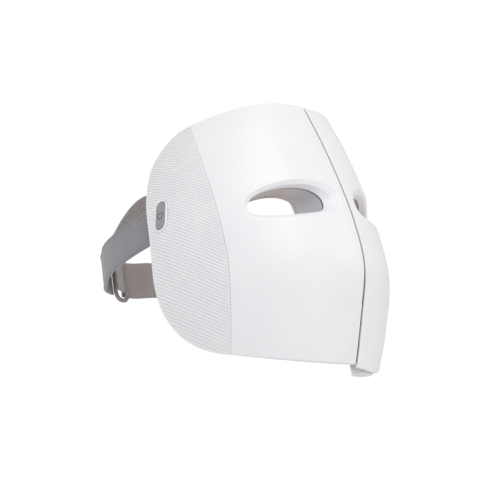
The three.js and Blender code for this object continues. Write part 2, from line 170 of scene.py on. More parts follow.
def plastic(name, light, dark, rough=0.4, grain=0.12, grain_scale=2600.0, **sockets):
    """Moulded plastic: faint cloudiness, uneven sheen and a fine spark-eroded grain."""
    n = Nodes(name, **sockets)
    cloud = n.noise(38.0, 3.0)
    fine = n.noise(grain_scale, 2.0, 0.6)
    # the colour turns paler on sharp convex edges
    edge = n.node("ShaderNodeNewGeometry").outputs["Pointiness"]
    edge_paling = n.fit(edge, 0.5, 0.62, 0.0, 0.35)
    tint = n.mix(n.fit(cloud, 0.35, 0.65, 0.0, 1.0), light, dark)
    pale = tuple(min(1.0, c * 1.05) for c in light)
    color = n.mix(edge_paling, tint, pale)
    uneven = n.plus(n.times(fine, 0.6), n.times(cloud, 0.4))
    return n.out(color, n.fit(uneven, 0.3, 0.7, rough - 0.05, rough + 0.06), fine, grain, 0.00005)


# painted reflection: a cool blue-grey mixed into the taupe silicone round the nose end of each eye opening,
# where the satin surface reflects the sky
EYE_PAINTED_SHEEN = (0.40, 0.41, 0.45)
SHEEN_ACROSS = (0.010, 0.015, 0.019, 0.029)  # metres from the centre: it starts, is full, fades, ends
SHEEN_LEVEL, SHEEN_HEIGHT = 0.010, (0.011, 0.016)  # its middle height; how far off it fades and ends


def silicone(name, light, dark, painted_sheen=None):
    """Soft silicone. Its last argument, when given, is a cooler colour painted at the nose end of each eye
    opening: a painted reflection of the sky on the satin surface.
    """
    n = Nodes(name, Sheen_Weight=0.25, Sheen_Roughness=0.4)
    cloud = n.noise(60.0, 3.0)
    fine = n.noise(1800.0, 3.0, 0.65)
    color = n.mix(n.fit(cloud, 0.35, 0.65, 0, 1), light, dark)
    # the painted reflection: cooler grey near the nose end of each eye opening
    if painted_sheen:
        split = n.node("ShaderNodeSeparateXYZ", {0: n.where})
        across = n.math("ABSOLUTE", split.outputs["X"])
        away = n.math("ABSOLUTE", n.math("SUBTRACT", split.outputs["Z"], SHEEN_LEVEL))
        inner = n.times(n.fit(across, *SHEEN_ACROSS[2:], 1, 0), n.fit(across, *SHEEN_ACROSS[:2], 0, 1))
        color = n.mix(n.times(inner, n.fit(away, *SHEEN_HEIGHT, 1, 0)), color, painted_sheen)
    return n.out(color, n.fit(fine, 0.3, 0.7, 0.52, 0.68), fine, 0.25, 0.00006)


def metal(name, tint, dark, rough=0.3, scale=(300, 4000, 4000)):
    n = Nodes(name, Metallic=1.0)
    brush = n.noise(1.0, 3.0, 0.5, n.stretched(scale))
    return n.out(n.mix(brush, tint, dark), n.fit(brush, 0.3, 0.7, rough - 0.06, rough + 0.1),
                 brush, 0.15, 0.00004)


def webbing(name, light, dark, thread=0.00115):
    """Woven elastic on UV in metres: u runs along the band, v across it."""
    n = Nodes(name, Sheen_Weight=0.35, Sheen_Roughness=0.5, Specular_IOR_Level=0.25)
    parts = n.node("ShaderNodeSeparateXYZ", {0: n.uv})
    u, v = parts.outputs[0], parts.outputs[1]
    turn = 2 * math.pi / thread
    rib = n.math("SINE", n.times(v, turn))
    shift = n.times(n.math("SIGN", rib), math.pi / 2)
    pick = n.math("SINE", n.plus(n.times(u, turn * 0.55), shift))
    weave = n.times(n.math("ABSOLUTE", rib), n.fit(pick, -1, 1, 0.35, 1.0))
    fibre = n.noise(1.0, 4.0, 0.7, n.stretched((420, 5200, 1), n.uv))
    fleck = n.noise(1.0, 2.0, 0.6, n.stretched((160, 1500, 1), n.uv))
    heather = n.plus(n.times(fibre, 0.6), n.times(fleck, 0.4))
    color = n.mix(n.fit(heather, 0.38, 0.62, 0, 1), dark, light)
    # painted shade: the colour is darkened in the gaps between the threads of the weave, where shade falls
    shade = n.mix(n.fit(weave, 0, 1, 0.55, 0.0), color, tuple(c * 0.45 for c in dark))
    height = n.plus(weave, n.times(fibre, 0.35))
    return n.out(shade, n.fit(fibre, 0.3, 0.7, 0.8, 0.97), height, 0.55, 0.00035)


def circuit(name, light, dark):
    n = Nodes(name, Roughness=0.45)
    cells = n.node("ShaderNodeTexVoronoi", {"Vector": n.where, "Scale": 420.0}).outputs["Distance"]
    tracks = n.noise(900.0, 1.0)
    return n.out(n.mix(n.fit(cells, 0.1, 0.5, 0, 1), light, dark), n.fit(tracks, 0.3, 0.7, 0.35, 0.6),
                 cells, 0.3, 0.0002)


M = {
    "shell": plastic("shell_white_plastic", (0.86, 0.86, 0.87), (0.845, 0.845, 0.86), 0.36, 0.05,
                     Coat_Weight=0.12, Coat_Roughness=0.3),
    "ribbed": plastic("ribbed_white_plastic", (0.83, 0.83, 0.84), (0.80, 0.80, 0.815), 0.42, 0.08),
    "frame": plastic("frame_white_plastic", (0.78, 0.78, 0.785), (0.75, 0.75, 0.76), 0.45),
    "bezel": plastic("bezel_gloss_plastic", (0.86, 0.86, 0.87), (0.84, 0.84, 0.86), 0.22, 0.04,
                     Coat_Weight=0.5, Coat_Roughness=0.1),
    "button": plastic("button_grey_plastic", (0.31, 0.31, 0.32), (0.28, 0.28, 0.295), 0.45, 0.2),
    "mark": plastic("mark_dark_plastic", (0.12, 0.12, 0.125), (0.10, 0.10, 0.105), 0.4, 0.1),
    "dark": plastic("dark_trim_plastic", (0.085, 0.08, 0.082), (0.07, 0.066, 0.068), 0.5, 0.2),
    "buckle": plastic("buckle_grey_plastic", (0.29, 0.26, 0.245), (0.25, 0.225, 0.21), 0.42, 0.15),
    "window": plastic("light_window_plastic", (0.72, 0.60, 0.58), (0.66, 0.52, 0.50), 0.18, 0.03,
                      Coat_Weight=0.6, Coat_Roughness=0.08, Subsurface_Weight=0.1),
    "taupe": silicone("taupe_silicone", (0.59, 0.545, 0.525), (0.54, 0.50, 0.485), EYE_PAINTED_SHEEN),
    "liner": silicone("liner_silicone", (0.60, 0.55, 0.525), (0.55, 0.50, 0.48), EYE_PAINTED_SHEEN),
    "pad": silicone("pad_silicone", (0.44, 0.39, 0.365), (0.40, 0.35, 0.33)),
    "board": circuit("circuit_board", (0.03, 0.13, 0.07), (0.02, 0.08, 0.045)),
    "foil": metal("battery_foil", (0.62, 0.63, 0.66), (0.5, 0.51, 0.54), 0.38),
    "steel": metal("screw_steel", (0.6, 0.6, 0.62), (0.45, 0.45, 0.47), 0.28),
    "strap": webbing("strap_heather", (0.40, 0.40, 0.42), (0.245, 0.245, 0.26)),
    "lining": webbing("strap_lining", (0.50, 0.455, 0.44), (0.34, 0.31, 0.30), 0.0013),
    "thread": webbing("strap_thread", (0.46, 0.46, 0.48), (0.34, 0.34, 0.36), 0.0006),
}


def floor_material():
    n = Nodes("floor_paper")
    cloud = n.noise(3.0, 2.0)
    return n.out(n.mix(cloud, (0.87, 0.87, 0.875), (0.91, 0.91, 0.91)), n.fit(cloud, 0.3, 0.7, 0.75, 0.9))


# ---- the mask's own surface, millimetres
DEPTH_BOTTOM, DEPTH_STEP = -108.0, 34.0
DEPTHS = np.array([93.5, 107, 118.5, 117, 110, 100.5, 89])
HALF_WIDTH, WIDTH_FALL = 89.5, 0.003
NEAR_ONE, NEAR_ZERO = 0.999, 1e-12
CHUNK = 4000  # points whose distances are measured together
SIDE_POWER, SIDE_POWER_GAIN, FRONT_POWER = 2.05, 1.0, 1.75
FRONT_BUILD, SIDE_BUILD = 22.0, 17.0
TOP = 93.0
CHIN_B, CHIN_Z, CHIN_SLOPE = 41.0, -82.0, 33.6 / 99.0
FLAT = 95.0  # millimetres of flat domain for one radian of angle


def turns(count):
    """Evenly spaced angles round a circle."""
    return np.linspace(0, 2 * math.pi, count, endpoint=False)


def unit(v):
    return v / (np.linalg.norm(v, axis=-1, keepdims=True) + NEAR_ZERO)


def depth_at(z):
    place = np.clip((np.asarray(z, float) - DEPTH_BOTTOM) / DEPTH_STEP, 0, len(DEPTHS) - 1)
    i = np.minimum(np.floor(place).astype(int), len(DEPTHS) - 2)
    t = place - i
    padded = np.concatenate([[2 * DEPTHS[0] - DEPTHS[1]], DEPTHS, [2 * DEPTHS[-1] - DEPTHS[-2]]])
    p0, p1, p2, p3 = (padded[i + k] for k in range(4))
    bend = (2 * p0 - 5 * p1 + 4 * p2 - p3) * t + (3 * p1 - p0 - 3 * p2 + p3) * t * t
    return p1 + 0.5 * t * (p2 - p0 + bend)


def width_at(z):
    return HALF_WIDTH - WIDTH_FALL * np.asarray(z, float) ** 2


def side_power(z):
    return SIDE_POWER + SIDE_POWER_GAIN * (np.asarray(z, float) / 100) ** 2


def face_point(angle, z, layer):
    """A point of the mask's wall. layer is 0 on its outer skin and 1 on its inner skin."""
    angle, z, layer = np.broadcast_arrays(np.asarray(angle, float), np.asarray(z, float), layer)
    s, c = np.sin(angle), np.cos(angle)
    x = np.sign(s) * (width_at(z) - SIDE_BUILD * layer) * np.abs(s) ** (2 / side_power(z))
    y = -np.sign(c) * (depth_at(z) - FRONT_BUILD * layer) * np.abs(c) ** (2 / FRONT_POWER)
    return np.stack([x, y, z], -1)


def angle_at_x(x, z, layer):
    reach = np.minimum(np.abs(x) / (width_at(z) - SIDE_BUILD * layer), NEAR_ONE)
    return np.sign(x) * np.arcsin(reach ** (side_power(z) / 2))


def angle_at_b(b, z, layer):
    """b is the distance in front of the origin, so y = -b."""
    ratio = np.clip(np.abs(b) / (depth_at(z) - FRONT_BUILD * layer), 0, 1)
    return np.arccos(np.sign(b) * ratio ** (FRONT_POWER / 2))


def flat_of(angle, z):
    """The flat domain that the covers and the liner are laid out in."""
    return np.stack(np.broadcast_arrays(np.asarray(angle, float) * FLAT, np.asarray(z, float)), -1)


def bezier(p0, p1, p2, p3, count=24):
    t = np.linspace(0, 1, count)[:, None]
    p0, p1, p2, p3 = (np.array(p, float) for p in (p0, p1, p2, p3))
    return (1 - t) ** 3 * p0 + 3 * (1 - t) ** 2 * t * p1 + 3 * (1 - t) * t * t * p2 + t ** 3 * p3


def chin_line(b, inset=0.0):
    """Height of the mask's lower edge, b in front of the origin."""
    return CHIN_Z - CHIN_SLOPE * (b - CHIN_B) + inset


def side_outline(inset, front):
    """(b, z) points from the top in front, round the rear edge, to the bottom in front."""
    i = inset
    top = np.stack([np.linspace(front, 29, 40), np.full(40, TOP - i)], -1)
    corner = bezier((29, TOP - i), (14 + i / 2, TOP - i), (i, 82 - i), (i - 2, 64 - i))
    ear = bezier((i - 2, 64 - i), (i - 3, 40), (3.5 + i, 25), (3.5 + i, 6))
    jaw = bezier((3.5 + i, 6), (3.5 + i, -10), (0.5 + i, -18), (0.5 + i, -30))
    low = bezier((0.5 + i, -30), (0.5 + i, -56 + i / 2), (14 + i / 2, -74 + i), (41, -82 + i))
    b = np.linspace(41, front, 40)
    chin = np.stack([b, chin_line(b, i)], -1)
    return np.concatenate([top, corner[1:], ear[1:], jaw[1:], low[1:], chin[1:]])


def panel_front(shift, rows=90):
    """(b, z) points down the front edge of the temple panel."""
    s = shift
    head = bezier((30 + s, 94), (50 + s, 60), (63.5 + s, 20), (63.5 + s, -18), rows)
    tail = bezier((63.5 + s, -18), (63.5 + s, -42), (52 + s, -68), (38 + s, -90), rows)
    line = np.concatenate([head, tail[1:]])
    return line[(line[:, 1] < TOP) & (line[:, 1] > chin_line(line[:, 0]))]


# ---- mesh helpers
def resample(line, step=1.0, closed=False, count=None):
    """Evenly spaced points along a line, about a step apart, or that many steps in all."""
    line = np.asarray(line, float)
    if closed:
        line = np.concatenate([line, line[:1]])
    away = np.concatenate([[0], np.cumsum(np.linalg.norm(np.diff(line, axis=0), axis=1))])
    count = count or max(2, int(round(away[-1] / step)))
    at = np.linspace(0, away[-1], count + 1)
    made = np.stack([np.interp(at, away, line[:, k]) for k in range(line.shape[1])], -1)
    return made[:-1] if closed else made


def ring_of(*lines, step=1.6):
    """One closed loop from open lines that meet end to end."""
    return np.concatenate([resample(line, step)[:-1] for line in lines])


def turned(loop, left):
    """The loop running so that its material lies to the left."""
    x, y = loop[:, 0], loop[:, 1]
    area = np.sum(x * np.roll(y, -1) - np.roll(x, -1) * y)
    return loop if (area > 0) == left else loop[::-1]


def inset_loop(loop, distance):
    """The loop moved to its left by that distance."""
    before, after = unit(loop - np.roll(loop, 1, 0)), unit(np.roll(loop, -1, 0) - loop)
    n0, n1 = (np.stack([-d[:, 1], d[:, 0]], -1) for d in (before, after))
    both = unit(n0 + n1)
    reach = np.clip(np.sum(both * n0, axis=1, keepdims=True), 0.5, 1)
    return loop + both * distance / reach


def inside(points, loops):
    """Which points lie inside an odd number of the loops."""
    odd = np.zeros(len(points), bool)
    for loop in loops:
        for a, b in zip(loop, np.roll(loop, -1, 0)):
            if a[1] == b[1]:
                continue
            across = ((a[1] > points[:, 1]) != (b[1] > points[:, 1]))
            at = a[0] + (points[:, 1] - a[1]) * (b[0] - a[0]) / (b[1] - a[1])
            odd ^= across & (points[:, 0] < at)
    return odd


def distance_to(points, loops):
    """How far each point is from the nearest point of any loop."""
    away = np.full(len(points), np.inf)
    for loop in loops:
        for start in range(0, len(points), CHUNK):
            part = points[start:start + CHUNK]
            near = np.min(np.linalg.norm(part[:, None] - loop[None], axis=2), axis=1)
            away[start:start + CHUNK] = np.minimum(away[start:start + CHUNK], near)
    return away


def grid_spots(loops, step):
    """Staggered points that fill the room between the loops."""
    low = np.min([l.min(0) for l in loops], 0)
    high = np.max([l.max(0) for l in loops], 0)
    rows = np.arange(low[1], high[1], step * 0.87)
    spots = []
    for k, row in enumerate(rows):
        across = np.arange(low[0] + (k % 2) * step / 2, high[0], step)
        spots.append(np.stack([across, np.full(len(across), row)], -1))
    spots = np.concatenate(spots)
    spots = spots[inside(spots, loops)]
    return spots[distance_to(spots, loops) > step * 0.55]


def triangulate(loops, spots):
    """Triangles between the loops, over their points and then the spots, in that order."""
    points = np.concatenate([*loops, spots])
    edges, start = [], 0
    for loop in loops:
        n = len(loop)
        edges += [(start + i, start + (i + 1) % n) for i in range(n)]
        start += n
    made = delaunay_2d_cdt([Vector(p) for p in points.tolist()], edges, [], 0, 1e-7)
    source = [ids[0] if ids else -1 for ids in made[3]]
    tris = np.array([[source[i] for i in face] for face in made[2]])
    tris = tris[(tris >= 0).all(1)]
    middle = points[tris].mean(1)
    return points, tris[inside(middle, loops)]


def build(name, points, faces, material, body, slot, node=None, extra=(), uvs=None, weighted=True):
    """A smooth-shaded piece from millimetre points, which rides on a body and may replace a CAD node.

    extra holds (material, faces) pairs."""
    mesh = bpy.data.meshes.new(name)
    mesh.from_pydata((np.asarray(points) * MM).tolist(), [], [list(map(int, f)) for f in faces])
    mesh.materials.append(M[material])
    for index, (other, chosen) in enumerate(extra):
        mesh.materials.append(M[other])
        for face in chosen:
            mesh.polygons[face].material_index = index + 1
    if uvs is not None:
        layer = mesh.uv_layers.new(name="UVMap")
        for loop in mesh.loops:
            layer.data[loop.index].uv = uvs[loop.vertex_index]
    work = bmesh.new()
    work.from_mesh(mesh)
    bmesh.ops.recalc_face_normals(work, faces=work.faces)
    if work.calc_volume(signed=True) < 0:
        bmesh.ops.reverse_faces(work, faces=work.faces)
    work.to_mesh(mesh)
    work.free()
    mesh.shade_smooth()
    made = bpy.data.objects.new(name, mesh)
    link(made)
    if weighted:
        modifier = made.modifiers.new("weighted", "WEIGHTED_NORMAL")
        modifier.weight = 60
    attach(made, body)
    if node:
        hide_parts(node)
    return made


def strips(first, second, count):
    """Quads between two closed rows of points that start at those indices."""
    return [(first + i, first + (i + 1) % count, second + (i + 1) % count, second + i) for i in range(count)]


ARC = np.radians([90, 66, 42, 20, 0])  # of the quarter round on a sheet's edge, from the front to the wall


class Sheet:
    """A curved sheet with rounded edges, laid out in a flat domain and mapped to the surface.

    place(flat points, depth) gives 3-D points. Each loop has a wall: rows of 3-D points from its top
    edge inwards. A loop that is a plain edge gets a quarter round and a straight drop."""

    def __init__(self, place, thick, radius):
        self.place, self.thick, self.radius = place, thick, radius
        self.fronts, self.backs, self.walls = [], [], []

    def edge(self, loop, left=True):
        loop = turned(loop, left)
        r = self.radius
        rows = []
        for a in ARC:
            depth = np.full(len(loop), r * (1 - math.sin(a)))
            rows.append(self.place(self.inset(loop, r * (1 - math.cos(a))), depth))
        rows.append(self.place(loop, np.full(len(loop), self.thick)))
        self.custom(self.inset(loop, r * (1 - math.cos(ARC[0]))), loop, rows)

    def inset(self, loop, distance):
        return inset_loop(loop, distance)

    def hole(self, front, back, rows):
        """A hole whose wall is given, its loops in either direction."""
        if not np.allclose(turned(front, False), front):
            front, back, rows = front[::-1], back[::-1], [r[::-1] for r in rows]
        self.custom(front, back, rows)

    def custom(self, front, back, rows):
        self.fronts.append(front)
        self.backs.append(back)
        self.walls.append(rows)

    def mesh(self, spots, back_step, lift=None):
        flat, tris = triangulate(self.fronts, spots)
        depth = np.zeros(len(flat)) if lift is None else lift(flat)
        points = self.place(flat, depth)
        starts, start = [], 0
        for loop, rows in zip(self.fronts, self.walls):
            points[start:start + len(loop)] = rows[0]
            starts.append(start)
            start += len(loop)
        faces = [tuple(t) for t in tris]
        chunks, total = [points], len(points)
        ends = []
        for first, rows in zip(starts, self.walls):
            before, count = first, len(rows[0])
            for row in rows[1:]:
                faces += [f[::-1] for f in strips(before, total, count)]
                chunks.append(row)
                before, total = total, total + count
            ends.append(before)
        back_spots = grid_spots(self.backs, back_step)
        back_flat, back_tris = triangulate(self.backs, back_spots)
        rename, at = {}, 0
        for loop, end in zip(self.backs, ends):
            for i in range(len(loop)):
                rename[at + i] = end + i
            at += len(loop)
        for i in range(len(back_spots)):
            rename[at + i] = total + i
        chunks.append(self.place(back_spots, np.full(len(back_spots), self.thick)))
        faces += [tuple(rename[i] for i in t[::-1]) for t in back_tris]
        return np.concatenate(chunks), faces


def mirrored(points):
    return np.asarray(points) * np.array([-1, 1, 1])


def loft(rings, closed=False):
    """Points and faces through matching rings. closed joins the last to the first; open ends are capped."""
    count = len(rings[0])
    points = np.concatenate(rings)
    faces = []
    for j in range(len(rings) - 1):
        faces += strips(j * count, (j + 1) * count, count)
    if closed:
        faces += strips((len(rings) - 1) * count, 0, count)
    else:
        faces.append(tuple(range(count))[::-1])
        faces.append(tuple(range((len(rings) - 1) * count, len(rings) * count)))
    return points, faces


# ---- eye openings
EYE_OUTER = np.array([35.2, 10.1, 25.9, 13.4, 10.0])  # x, z, half width, half height above and below
EYE_INNER = np.array([42.0, 10.4, 15.6, 10.7, 8.4])
EYE_UPPER_POWER, EYE_LOWER_POWER = 2.15, 2.45
EYE_STEPS = 120
# (depth, outward) in millimetres of the white bevel, then (layer, outward) of the wall behind it and its back
EYE_BEVEL = ((0, 2.9), (0.1, 2.66), (0.3, 2.44), (1.15, 1.55), (1.95, 0.65), (2.2, 0.36), (2.5, 0.14),
             (3.0, 0.0))
EYE_WALL = ((0.16, 0), (0.22, 0), (0.28, 0), (0.33, 0), (0.352, 0.12), (0.36, 0.45), (0.36, 2.1), (0.25, 2.2))
EYE_BACK = 2.3
NOSE_SIDE = {"from": 20, "over": 8, "height": 10, "droop": 1.2}  # the lower edge dips at its nose end


def eye_plan(layer, grow):
    """x and z round the left eye's opening on one layer, `grow` outside it."""
    x, z, w, up, down = EYE_OUTER + (EYE_INNER - EYE_OUTER) * layer
    turn = turns(EYE_STEPS)
    c, s = np.cos(turn), np.sin(turn)
    power = np.where(s > 0, EYE_UPPER_POWER, EYE_LOWER_POWER)
    high = np.where(s > 0, up, down) + grow
    px = x + (w + grow) * np.sign(c) * np.abs(c) ** (2 / power)
    pz = z + high * np.sign(s) * np.abs(s) ** (2 / power)
    inward = np.clip((NOSE_SIDE["from"] - px) / NOSE_SIDE["over"], 0, 1)
    below = np.clip((z - pz) / NOSE_SIDE["height"], 0, 1)
    return px, pz - NOSE_SIDE["droop"] * (inward * below)


def eye_ring(layer, grow):
    px, pz = eye_plan(layer, grow)
    return face_point(angle_at_x(px, pz, layer), pz, layer)


def eye_flat(layer, grow):
    px, pz = eye_plan(layer, grow)
    return flat_of(angle_at_x(px, pz, layer), pz)


# ---- white covers
COVER_THICK = 3.05
COVER_EDGE = 0.55  # radius of its edges
SEAM_HALF = 0.8
PANEL_GAP = 0.05
CREASE = {"top": -38.0, "bottom": -101.0, "reach": 12.5, "dip": 1.5}


def place_outer(flat, depth):
    angle, z = flat[:, 0] / FLAT, flat[:, 1]
    return face_point(angle, z, depth / FRONT_BUILD)


def crease_dip(x, z):
    """How far the strip beside the seam falls away from the near half below the lips."""
    down = np.clip((CREASE["top"] - z) / (CREASE["top"] - CREASE["bottom"]), 0, 1)
    reach = np.maximum(CREASE["reach"] * down ** 0.9, 0.6)
    inward = np.clip((reach - np.abs(x)) / reach, 0, 1)
    return CREASE["dip"] * down ** 0.6 * inward


# the edge of the far half's lower chin, (x, z) from the seam outwards
LOBE_CURVES = (((0.68, -102.1), (16, -105.8), (26, -106.4), (34, -102.5)),
               ((34, -102.5), (40, -99.3), (44, -96.2), (50, -92.6)))
LOBE_JOIN = 0.8  # flat millimetres left between the chin line and the lobe's curve
CHIN_FRONT, SEAM_FOOT = 96.3, 96.6  # where the chin line stops, and where it would meet the seam
TOP_START = 0.01  # radians
COVER_GRID, COVER_BACK_GRID = 1.9, 7.0


def flat_at_x(x, z):
    return flat_of(angle_at_x(x, z, 0), z)


def flat_at_b(b, z):
    return flat_of(angle_at_b(b, z, 0), z)


def cover_body(lobe):
    """The left-hand cover, mirrored for the right. lobe gives it the lower chin."""
    sheet = Sheet(place_outer, COVER_THICK, COVER_EDGE)
    panel = panel_front(PANEL_GAP)
    top_angle = angle_at_b(panel[0, 0], TOP, 0)
    top = flat_of(np.linspace(0, 1, 80) * (top_angle - TOP_START) + TOP_START, TOP)
    top[0] = flat_at_x(SEAM_HALF, TOP)
    edge = np.concatenate([top[-1:], flat_at_b(panel[:, 0], panel[:, 1])])
    b = np.linspace(panel[-1, 0], CHIN_FRONT, 200)
    chin = flat_at_b(b, chin_line(b))
    if lobe:
        curve = np.concatenate([bezier(*LOBE_CURVES[0]), bezier(*LOBE_CURVES[1])[1:]])
        low = flat_at_x(curve[:, 0], curve[:, 1])
        under = curve[:, 1] < chin_line(-place_outer(low, 0)[:, 1])
        low = low[under][::-1]
        chin = np.concatenate([chin[chin[:, 0] > low[0, 0] + LOBE_JOIN], low])
    else:
        chin = np.concatenate([chin, [flat_at_x(SEAM_HALF, chin_line(SEAM_FOOT))]])
    z = np.linspace(chin[-1][1], TOP, 160)
    panel_edge = np.concatenate([edge, chin[:1]])
    sheet.edge(ring_of(top, panel_edge, chin, flat_at_x(SEAM_HALF, z)))

    behind = COVER_THICK / FRONT_BUILD
    rows = [eye_ring(deep / FRONT_BUILD, grow) for deep, grow in EYE_BEVEL]
    rows += [eye_ring(layer, grow) for layer, grow in (*EYE_WALL, (behind, EYE_BACK))]
    sheet.hole(eye_flat(0, EYE_BEVEL[0][1]), eye_flat(behind, EYE_BACK), rows)

    def lift(flat):
        p = place_outer(flat, np.zeros(len(flat)))
        return crease_dip(p[:, 0], p[:, 2])

    return sheet.mesh(grid_spots(sheet.fronts, COVER_GRID), COVER_BACK_GRID, None if lobe else lift)


def dipped_edge(points):
    """Moves the near half's own edge rows with the dip of the strip beside the seam."""
    p = points.copy()
    p[:, 1] += crease_dip(p[:, 0], p[:, 2])
    return p


points, faces = cover_body(False)
near_edge = np.abs(points[:, 0]) < SEAM_HALF + COVER_EDGE + 0.02
points[near_edge] = dipped_edge(points)[near_edge]
build("right_cover_shell", mirrored(points), faces, "shell", "mask", "shell_white", "right_cover")
points, faces = cover_body(True)
build("left_cover_shell", points, faces, "shell", "mask", "shell_white", "left_cover")

# ---- dark strip in the seam: a painted shadow of the gap between the two halves
STRIP_HALF, STRIP_CHAMFER = 0.72, 0.25
STRIP_LAYERS = (0.06, 0.14)
STRIP_FOOT, STRIP_END = 96.4, 1.0
STRIP_DIP = 0.9  # how much of the crease's dip it follows

seam_shadow_rings = []
for z in np.linspace(chin_line(STRIP_FOOT) + STRIP_END, TOP - STRIP_END, 120):
    front, rear = (face_point(0, z, layer) for layer in STRIP_LAYERS)
    front[1] += float(crease_dip(np.array(0.0), np.array(z))) * STRIP_DIP
    corners = [front + (x, y, 0) for x, y in ((-STRIP_HALF, STRIP_CHAMFER), (-STRIP_HALF * 0.6, 0),
                                              (STRIP_HALF * 0.6, 0), (STRIP_HALF, STRIP_CHAMFER))]
    corners += [rear + (x, 0, 0) for x in (STRIP_HALF, -STRIP_HALF)]
    seam_shadow_rings.append(np.array(corners))
# the dark trim material stands in for the shade deep in the seam gap: painted shadow
build("center_seam_painted_shadow", *loft(seam_shadow_rings), "dark", "mask", "dark_trim", "center_seam_strip")

# ---- button frame on the skin
BUTTON = {"b": 16.0, "z": 24.2, "length": 20.7, "width": 8.6, "tilt": -0.1, "rim": 1.8}
PILL_STEPS = 56


def face_frame(angle, z, tilt):
    """On the right-hand side: rows across, up and outward, and the place on the skin."""
    step = 1e-3
    here = face_point(-angle, z, 0)
    across = face_point(-angle + step, z, 0) - here
    up = face_point(-angle, z + step, 0) - here
    normal = unit(np.cross(across, up))
    side = unit(np.cross(up, normal))
    up = np.cross(normal, side)
    c, s = math.cos(tilt), math.sin(tilt)
    return np.stack([side * c + up * s, up * c - side * s, normal]), here


BUTTON_AXES, BUTTON_PLACE = face_frame(float(angle_at_b(BUTTON["b"], BUTTON["z"], 0)), BUTTON["z"],
                                       BUTTON["tilt"])


def on_skin(local):
    return np.asarray(local) @ BUTTON_AXES + BUTTON_PLACE


def pill_ring(grow, height):
    """Pill outline in the button's own frame, `grow` outside the button, at one height."""
    r = BUTTON["width"] / 2
    h = BUTTON["length"] / 2 - r
    turn = turns(PILL_STEPS)
    x = (r + grow) * np.cos(turn)
    y = (r + grow) * np.sin(turn) + np.sign(np.sin(turn) + NEAR_ZERO) * h
    return np.stack([x, y, np.full(PILL_STEPS, height)], -1)


# ---- ribbed temple panels
RIB_SLOPE = 0.5304  # of a rib that starts level with the origin, at the rear edge
RIB_FAN = 0.0014  # ribs lower down slope more
RIB_BEND = 0.0023  # and each bends down a little towards the front
RIB_PITCH = 2.553  # between ribs at the rear edge, level with the origin
RIB_SPREAD = 0.0085  # the pitch grows downwards by this much a millimetre
RIB_DEPTH = 1.05
RIB_FULLNESS = 0.97  # 1 would make each rib a half ellipse
RIB_EDGE = (0.35, 0.8)  # ribs start this far in from an edge, and are full after this much more
RIB_SAMPLES = 6
RIB_SCALE = 9.0  # height of one rib in the flat domain
PANEL_EDGE, PANEL_STEP = 0.3, 1.3
PANEL_COLUMNS, PANEL_BACK_GRID, PANEL_CLEAR = 1.9, 14.0, 0.4
HOLE_GAP = 0.12  # round the bezel


def ribs_of(b, z):
    """Flat domain of a panel: the distance forward, and the rib number (stretched)."""
    start = (z + RIB_SLOPE * b + RIB_BEND * b * b) / (1 + RIB_FAN * b)
    number = -np.log(RIB_PITCH - RIB_SPREAD * start) / RIB_SPREAD
    return np.stack([b, number * RIB_SCALE], -1)


def side_of(flat):
    """Back from the flat domain to (b, z)."""
    b = flat[:, 0]
    start = (RIB_PITCH - np.exp(-RIB_SPREAD * flat[:, 1] / RIB_SCALE)) / RIB_SPREAD
    return np.stack([b, start * (1 + RIB_FAN * b) - RIB_SLOPE * b - RIB_BEND * b * b], -1)


def place_panel(flat, depth):
    b, z = side_of(flat).T
    return face_point(angle_at_b(b, z, 0), z, depth / FRONT_BUILD)


def rib_depth(flat, loops):
    phase = (flat[:, 1] / RIB_SCALE) % 1.0
    round_top = np.sqrt(np.clip(1 - (2 * phase - 1) ** 2 * RIB_FULLNESS, 0, 1))
    edge = distance_to(side_of(flat), [side_of(loop) for loop in loops])
    return RIB_DEPTH * (1 - round_top) * np.clip((edge - RIB_EDGE[0]) / RIB_EDGE[1], 0, 1)


class PanelSheet(Sheet):
    """A sheet whose flat domain is stretched, so that its insets are made in real millimetres."""

    def inset(self, loop, distance):
        real = inset_loop(side_of(loop), distance)
        return ribs_of(real[:, 0], real[:, 1])


def panel_body():
    sheet = PanelSheet(place_panel, COVER_THICK, PANEL_EDGE)
    front = panel_front(-PANEL_GAP)
    outline = side_outline(0, 100)
    rear = outline[(outline[:, 0] < front[0, 0]) & (outline[:, 1] > 0)]
    low = outline[(outline[:, 0] < front[-1, 0]) & (outline[:, 1] <= 0)]
    rear = np.concatenate([[front[0]], rear])
    rear[0, 1] = TOP
    loop = ring_of(np.concatenate([rear, low, front[-1:]]), front[::-1], step=PANEL_STEP)
    sheet.edge(ribs_of(loop[:, 0], loop[:, 1]))
    hole = on_skin(pill_ring(BUTTON["rim"] + HOLE_GAP, 0))
    sheet.edge(ribs_of(-hole[:, 1], hole[:, 2]), left=False)
    across = RIB_SCALE / RIB_SAMPLES
    low_corner, high_corner = sheet.fronts[0].min(0), sheet.fronts[0].max(0)
    rows = np.arange(math.floor(low_corner[1] / across), high_corner[1] / across) * across
    cols = np.arange(low_corner[0], high_corner[0], PANEL_COLUMNS)
    spots = np.stack(np.meshgrid(cols, rows), -1).reshape(-1, 2)
    spots = spots[inside(spots, sheet.fronts)]
    spots = spots[distance_to(side_of(spots), [side_of(front) for front in sheet.fronts]) > PANEL_CLEAR]
    return sheet.mesh(spots, PANEL_BACK_GRID, lambda flat: rib_depth(flat, sheet.fronts))


points, faces = panel_body()
for side, name in ((-1, "right"), (1, "left")):
    build(name + "_ribbed_panel", points * (side, 1, 1), faces, "ribbed", "mask", "ribbed_white",
          name + "_temple_panel", weighted=False)

